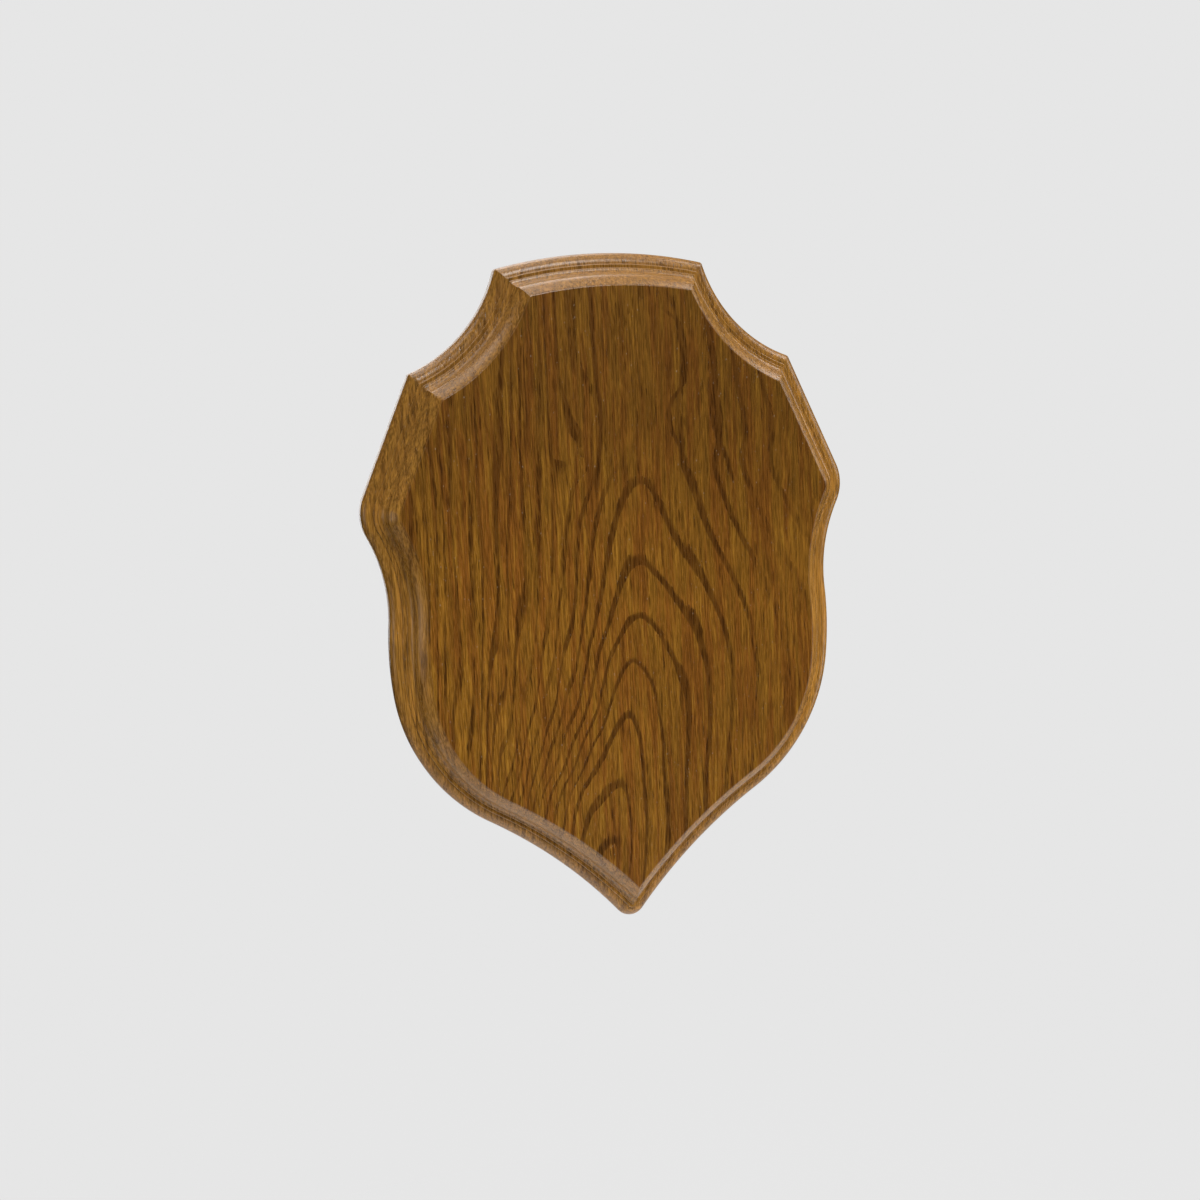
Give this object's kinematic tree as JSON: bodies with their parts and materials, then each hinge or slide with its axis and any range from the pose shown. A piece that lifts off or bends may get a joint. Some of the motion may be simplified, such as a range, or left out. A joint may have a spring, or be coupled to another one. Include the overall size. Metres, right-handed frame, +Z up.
{
  "type": "trophy mounting plaque",
  "caption": "Shield-shaped oak mounting plaque with a stepped moulded edge, a flat field for a trophy and a keyhole slot in its flat back.",
  "frame": {"origin": "the middle of the flat back, halfway across and halfway up the plaque", "axes": "+Z up, +Y out of the flat back towards the wall, +X to the right of a viewer who faces the plaque"},
  "size_m": [0.17, 0.017, 0.23],
  "materials": {
    "stained_oak": "golden brown stain under satin lacquer"
  },
  "bodies": {
    "root": {"plaque": "stained_oak"}
  },
  "joints": []
}
